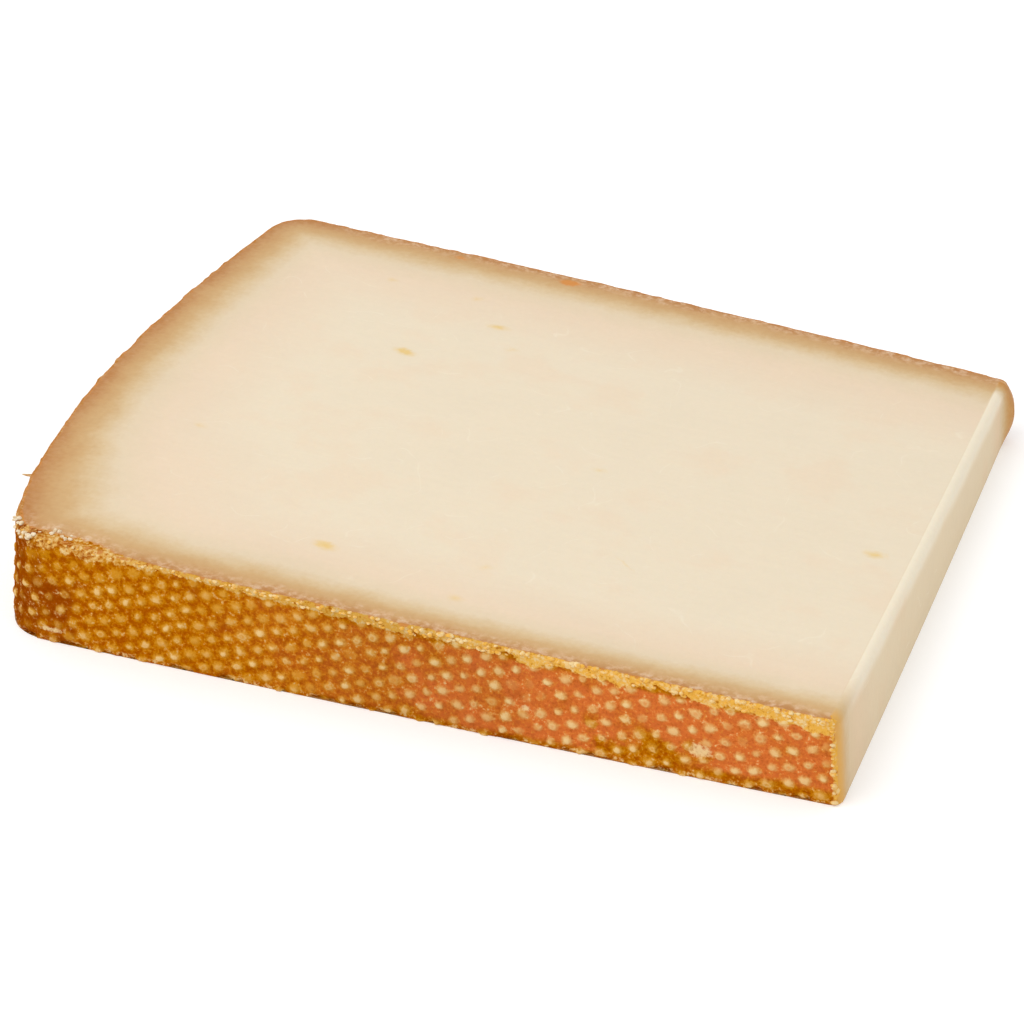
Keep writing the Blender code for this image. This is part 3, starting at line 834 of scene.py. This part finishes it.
class OBJECT_OT_cheese_crumbs(bpy.types.Operator):
    """Makes the knobs of crust along the rind's edges, and the whitish crumbs at the left corner"""

    bl_idname = "object.cheese_crumbs"
    bl_label = "Crust crumbs"

    KNOBS = 230
    KNOB_SINK = 0.13 * MM
    KNOB_DEPTH = 1.4 * MM
    EDGE_BEADS = 12
    BEAD_PLACE = 0.55 * MM
    CRUMBS = 28

    def execute(self, context):
        sizes, colours = context.scene.slice_sizes, context.scene.slice_colours
        plan = Plan()
        draw = np.random.default_rng(sizes.seed + 100)
        s = plan.front_start + (plan.rind_end - plan.front_start) * draw.random(self.KNOBS) ** 0.8
        depth = draw.uniform(0.1, 1.0, self.KNOBS) ** 1.5 * self.KNOB_DEPTH
        rightwards = smooth(plan.at(plan.upper, s)[:, 0], -50 * MM, 20 * MM)
        depth, knobs_size = depth * (0.3 + 0.7 * rightwards), 0.6 + 0.4 * rightwards
        knobs = self.along(sizes, plan, s, depth, -self.KNOB_SINK)
        radius = draw.uniform(0.2, 0.46, self.KNOBS) * MM * knobs_size
        beads_z = np.linspace(0.7, 13.0, self.EDGE_BEADS) * MM + draw.uniform(-0.7, 0.7, self.EDGE_BEADS) * MM
        bead_s = np.full(self.EDGE_BEADS, plan.rind_end - self.BEAD_PLACE)
        height = face_height(sizes, *plan.at(plan.upper, bead_s).T)
        beads = self.along(sizes, plan, bead_s, height - beads_z, 0.02 * MM)
        centres = np.concatenate((knobs, beads))
        radius = np.concatenate((radius, draw.uniform(0.24, 0.48, self.EDGE_BEADS) * MM))
        material = crumb_material("crust_knobs", colours.crust, colours.dot_peak, 0.51)
        self.add("crust_knobs", centres, radius, material, sizes.seed + 1)
        s = plan.front_start + draw.uniform(-5.0, 9.0, self.CRUMBS) * MM
        depth = draw.uniform(-1.6, 0.7, self.CRUMBS) * MM
        depth += 0.8 * MM - 3.2 * MM * plan.past_corner(s, 1.5, 4.0)
        crumbs = self.along(sizes, plan, s, depth, 0.05 * MM)
        material = crumb_material("pale_crumbs", colours.crumb, colours.band_pale, 0.55)
        self.add("pale_crumbs", crumbs, draw.uniform(0.16, 0.38, self.CRUMBS) * MM, material, sizes.seed + 2)
        return {"FINISHED"}

    def along(self, sizes, plan, s, depth, proud):
        """Places on the rind at s and a depth below its upper edge; a negative depth lies on the face."""
        upper, lower, out = plan.at(plan.upper, s), plan.at(plan.lower, s), plan.outward(s)
        height = face_height(sizes, *upper.T)
        share = (np.maximum(depth, 0.0) / height)[:, None]
        xy = (1.0 - share) * upper + share * lower + out * (np.minimum(depth, 0.0) + proud)[:, None]
        z = np.where(depth > 0.0, height - depth, face_height(sizes, *xy.T) + 0.3 * proud)
        return np.column_stack((xy, z))

    def add(self, name, centres, radius, material, seed):
        """One piece of lumps, kept inside the solid's box."""
        flat = np.random.default_rng(seed).uniform(0.7, 1.1, (len(centres), 3)) * (1.4, 1.2, 0.8)
        rings = clumps(centres, flat * radius[:, None], seed)
        mesh = closed_rings(name, np.clip(rings, BOX_LOW, BOX_HIGH))
        link_piece(name, mesh, material)


class OBJECT_OT_cheese_flake(bpy.types.Operator):
    """Makes the thin flake of rind that sticks out at the heel"""

    bl_idname = "object.cheese_flake"
    bl_label = "Rind flake"

    BEFORE_CORNER = 17.0 * MM
    BELOW_EDGE = 0.5 * MM
    LENGTH = 1.7 * MM
    HALF_WIDTH = 0.42 * MM
    THINNESS = 0.35
    LIFT = 0.25 * MM

    def execute(self, context):
        sizes, colours = context.scene.slice_sizes, context.scene.slice_colours
        plan = Plan()
        s = np.array((plan.front_start - self.BEFORE_CORNER,))
        root = np.append(plan.at(plan.upper, s)[0], 0.0)
        root[2] = face_height(sizes, root[0], root[1]) - self.BELOW_EDGE
        outward = np.append(plan.outward(s)[0], -0.1)
        along = np.linspace(-0.3, 1.0, 9)[:, None, None]
        u = np.linspace(0.0, 2.0 * math.pi, 10, endpoint=False)[None, :, None]
        width = self.HALF_WIDTH * np.sqrt(np.clip(1.05 - along, 0.0, 1.0))
        sideways = np.array((-outward[1], outward[0], 0.0))
        upwards = np.array((0.0, 0.0, 1.0)) * (self.THINNESS * width * np.sin(u) + self.LIFT * along ** 2)
        rings = root + outward * along * self.LENGTH + sideways * width * np.cos(u) + upwards
        rings = np.clip(rings, BOX_LOW, BOX_HIGH)
        link_piece("rind_flake", closed_rings("rind_flake", rings[None]),
                   crumb_material("rind_flake", colours.band_outer, colours.band_tan, 0.5))
        return {"FINISHED"}


# Studio

CAMERA_PLACE = Vector((156.55, -416.07, 255.6)) * MM
CAMERA_TARGET = Vector((21.74, -59.21, 37.7)) * MM
CAMERA_LENS = 112.5
SENSOR_WIDTH = 36.0


class StudioSettings(bpy.types.PropertyGroup):
    """The floor and the light."""

    floor_colour: FloatVectorProperty(
        name="Floor", description="Colour of the plain floor", subtype="COLOR", default=(0.78, 0.78, 0.78))
    floor_glow: FloatProperty(
        name="Floor glow", description="Light that the floor gives, so that it stays white", default=0.28)
    sky_strength: FloatProperty(
        name="Sky strength", description="Even white light from all sides", default=0.88)
    key_power: FloatProperty(
        name="Key power", description="Power of the large soft light", default=2.6, subtype="POWER")


def point_at(thing, target):
    """Turns a camera or a light to look at a place."""
    thing.rotation_euler = (target - thing.location).to_track_quat("-Z", "Y").to_euler()


class OBJECT_OT_cheese_studio(bpy.types.Operator):
    """Makes the floor, the lights and the camera"""

    bl_idname = "object.cheese_studio"
    bl_label = "Studio"

    FLOOR_HALF = 1.5
    FLOOR_GAP = 0.02 * MM
    KEY_SIZE = 0.6
    KEY_PLACE = (-0.25, -0.35, 0.75)

    def execute(self, context):
        settings = context.scene.studio_settings
        self.make_floor(settings)
        self.make_lights(context.scene, settings)
        self.make_camera(context.scene)
        return {"FINISHED"}

    def make_floor(self, settings):
        """A plain square of floor, a hair below the slice so that the two don't flicker."""
        half, gap = self.FLOOR_HALF, self.FLOOR_GAP
        corners = [(-half, -half, -gap), (half, -half, -gap), (half, half, -gap), (-half, half, -gap)]
        mesh = bpy.data.meshes.new("floor")
        mesh.from_pydata(corners, [], [(0, 1, 2, 3)])
        tree = Tree("floor")
        grain = tree.noise(tree.place(), 40.0)
        colour = tree.shade((*settings.floor_colour,), 0.995 + grain * 0.01)
        inputs = {"Base Color": colour, "Roughness": 0.9, "Emission Color": (1.0, 1.0, 1.0, 1.0),
                  "Emission Strength": settings.floor_glow}
        mesh.materials.append(tree.finish(tree.node("ShaderNodeBsdfPrincipled", inputs=inputs)))
        floor = bpy.data.objects.new("floor", mesh)
        bpy.context.scene.collection.objects.link(floor)

    def make_lights(self, scene, settings):
        """An even white sky, and one large soft light above and to the left."""
        world = bpy.data.worlds.new("studio")
        world.use_nodes = True
        background = world.node_tree.nodes["Background"]
        background.inputs["Color"].default_value = (1.0, 1.0, 1.0, 1.0)
        background.inputs["Strength"].default_value = settings.sky_strength
        scene.world = world
        light = bpy.data.lights.new("key", "AREA")
        light.shape = "DISK"
        light.size = self.KEY_SIZE
        light.energy = settings.key_power
        key = bpy.data.objects.new("key", light)
        key.location = Vector(self.KEY_PLACE)
        scene.collection.objects.link(key)
        point_at(key, Vector((0.0, 0.0, 0.0)))

    def make_camera(self, scene):
        """The camera at the photograph's place, with its long lens."""
        data = bpy.data.cameras.new("camera")
        data.lens = CAMERA_LENS
        data.sensor_width = SENSOR_WIDTH
        data.clip_start = 0.01
        camera = bpy.data.objects.new("camera", data)
        camera.location = CAMERA_PLACE
        scene.collection.objects.link(camera)
        point_at(camera, CAMERA_TARGET)
        scene.camera = camera


class VIEW3D_PT_cheese(bpy.types.Panel):
    """Lists the pieces and their settings"""

    bl_label = "Cheese"
    bl_space_type = "VIEW_3D"
    bl_region_type = "UI"
    bl_category = "Cheese"

    def draw(self, context):
        for operator in OPERATORS:
            self.layout.operator(operator.bl_idname)
        for name in GROUPS:
            group = getattr(context.scene, name)
            box = self.layout.box()
            for key in type(group).__annotations__:
                box.prop(group, key)


OPERATORS = (OBJECT_OT_cheese_slice, OBJECT_OT_cheese_crumbs, OBJECT_OT_cheese_flake, OBJECT_OT_cheese_studio)
GROUPS = {"slice_sizes": SliceSizes, "slice_colours": SliceColours, "studio_settings": StudioSettings}


def register():
    """Registers the groups, the operators and the panel."""
    for name, group in GROUPS.items():
        bpy.utils.register_class(group)
        setattr(bpy.types.Scene, name, PointerProperty(type=group))
    for operator in OPERATORS:
        bpy.utils.register_class(operator)
    bpy.utils.register_class(VIEW3D_PT_cheese)


def unregister():
    """Takes them out again."""
    bpy.utils.unregister_class(VIEW3D_PT_cheese)
    for operator in reversed(OPERATORS):
        bpy.utils.unregister_class(operator)
    for name, group in GROUPS.items():
        delattr(bpy.types.Scene, name)
        bpy.utils.unregister_class(group)


def main():
    register()
    bpy.context.scene.view_settings.view_transform = "Standard"
    bpy.ops.object.cheese_slice()
    bpy.ops.object.cheese_crumbs()
    bpy.ops.object.cheese_flake()
    bpy.ops.object.cheese_studio()


if __name__ == "__main__":
    main()
